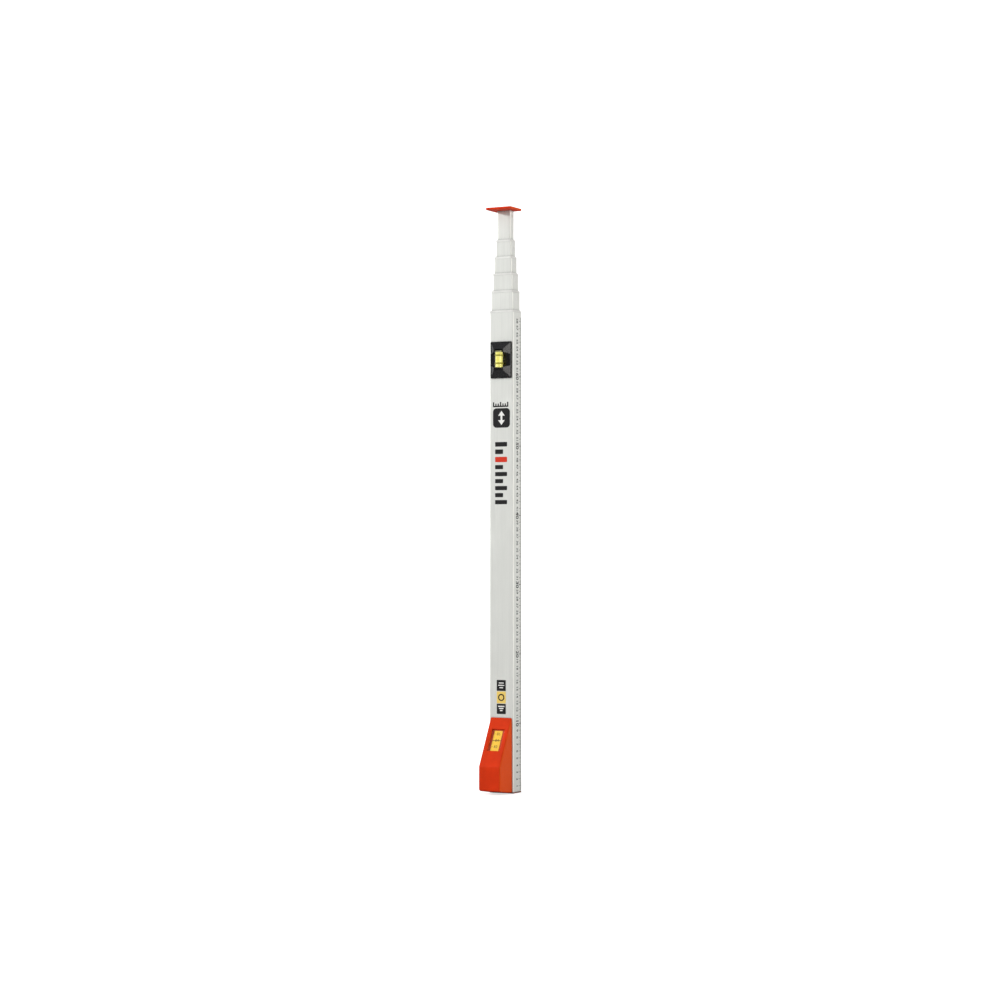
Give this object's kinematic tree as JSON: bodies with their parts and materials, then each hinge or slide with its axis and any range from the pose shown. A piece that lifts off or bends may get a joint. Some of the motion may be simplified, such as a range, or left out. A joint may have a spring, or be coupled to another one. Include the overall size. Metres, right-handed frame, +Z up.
{
  "type": "telescopic measuring rod",
  "caption": "Collapsed telescopic aluminium measuring rod with a side scale, a tubular vial, an orange end plate and an orange foot housing with a sprung tape reel behind a reading window.",
  "frame": {"origin": "centre of the foot's bearing face, on the axis of the tubes", "axes": "+Z up along the rod, -Y out of the front wide face (vial and reading window), +X out of the narrow face that carries the scale"},
  "size_m": [0.0414, 0.0639, 0.843],
  "materials": {
    "aluminium": "satin clear-anodised, fine lengthwise grain",
    "glide": "moulded low-friction plastic, light grey",
    "natural": "moulded low-friction plastic, natural",
    "orange": "moulded orange-red plastic, satin with a fine grain",
    "black": "moulded black plastic, satin",
    "steel": "bright zinc-plated steel",
    "spring": "blued spring steel",
    "tape": "yellow-lacquered steel tape",
    "clear": "clear polished acrylic",
    "vial_fluid": "yellow-green liquid"
  },
  "bodies": {
    "rod_body": {"cover_screw_1": "steel", "cover_screw_2": "steel", "cover_screw_3": "steel", "foot": "orange", "foot_screw_1": "steel", "foot_screw_2": "steel", "glide_collar_1": "glide", "housing_screw_1": "steel", "housing_screw_2": "steel", "housing_shell": "orange", "housing_side_cover": "orange", "outer_tube": "aluminium", "pulley_pin": "steel", "reel_axle": "steel", "reel_spring": "spring", "tape_guide": "black", "tape_lower_run": "tape", "vial_holder": "black", "vial_liquid": "vial_fluid", "vial_plug": "clear", "vial_tube": "clear", "window_lens": "clear"},
    "section_2": {"glide_collar_2": "glide", "lock_spring_2": "spring", "section_2_plug": "natural", "section_2_tube": "aluminium"},
    "section_3": {"glide_collar_3": "glide", "lock_spring_3": "spring", "section_3_plug": "natural", "section_3_tube": "aluminium"},
    "section_4": {"glide_collar_4": "glide", "lock_spring_4": "spring", "section_4_plug": "natural", "section_4_tube": "aluminium"},
    "section_5": {"glide_collar_5": "glide", "lock_spring_5": "spring", "section_5_plug": "natural", "section_5_tube": "aluminium"},
    "section_6": {"end_plug": "natural", "lock_spring_6": "spring", "section_6_plug": "natural", "section_6_tube": "aluminium", "tape_blade": "tape", "tape_end_pin": "steel", "top_plate": "orange", "top_plate_screw_1": "steel", "top_plate_screw_2": "steel"},
    "lock_button_2": {"lock_button_2": "steel"},
    "lock_button_3": {"lock_button_3": "steel"},
    "lock_button_4": {"lock_button_4": "steel"},
    "lock_button_5": {"lock_button_5": "steel"},
    "lock_button_6": {"lock_button_6": "steel"},
    "reel": {"reel_drum": "black", "tape_coil": "tape"},
    "pulley": {"pulley": "natural"}
  },
  "joints": [
    {"name": "section_2_slide", "type": "slide", "parent": "rod_body", "child": "section_2", "axis": [0, 0, 1], "range_m": [0, 0.63]},
    {"name": "section_3_slide", "type": "slide", "parent": "section_2", "child": "section_3", "axis": [0, 0, 1], "range_m": [0, 0.63]},
    {"name": "section_4_slide", "type": "slide", "parent": "section_3", "child": "section_4", "axis": [0, 0, 1], "range_m": [0, 0.63]},
    {"name": "section_5_slide", "type": "slide", "parent": "section_4", "child": "section_5", "axis": [0, 0, 1], "range_m": [0, 0.63]},
    {"name": "section_6_slide", "type": "slide", "parent": "section_5", "child": "section_6", "axis": [0, 0, 1], "range_m": [0, 0.63], "deforming": ["tape_blade"]},
    {"name": "lock_button_2_press", "type": "slide", "parent": "section_2", "child": "lock_button_2", "axis": [-1, 0, 0], "range_m": [0, 0.0026]},
    {"name": "lock_button_3_press", "type": "slide", "parent": "section_3", "child": "lock_button_3", "axis": [-1, 0, 0], "range_m": [0, 0.0017]},
    {"name": "lock_button_4_press", "type": "slide", "parent": "section_4", "child": "lock_button_4", "axis": [-1, 0, 0], "range_m": [0, 0.0017]},
    {"name": "lock_button_5_press", "type": "slide", "parent": "section_5", "child": "lock_button_5", "axis": [-1, 0, 0], "range_m": [0, 0.0017]},
    {"name": "lock_button_6_press", "type": "slide", "parent": "section_6", "child": "lock_button_6", "axis": [-1, 0, 0], "range_m": [0, 0.0017]},
    {"name": "reel_spin", "type": "hinge", "parent": "rod_body", "child": "reel", "pos_m": [0, -0.03155, 0.0238], "axis": [-1, 0, 0], "range_deg": [0, 2500]},
    {"name": "pulley_spin", "type": "hinge", "parent": "rod_body", "child": "pulley", "pos_m": [0, -0.00683, 0.0102], "axis": [1, 0, 0], "range_deg": [0, 5340]}
  ],
  "couplings": [
    {"joint": "reel_spin", "follows": "section_6_slide", "rad_per_m": 68.7},
    {"joint": "pulley_spin", "follows": "section_6_slide", "rad_per_m": 146.5}
  ]
}
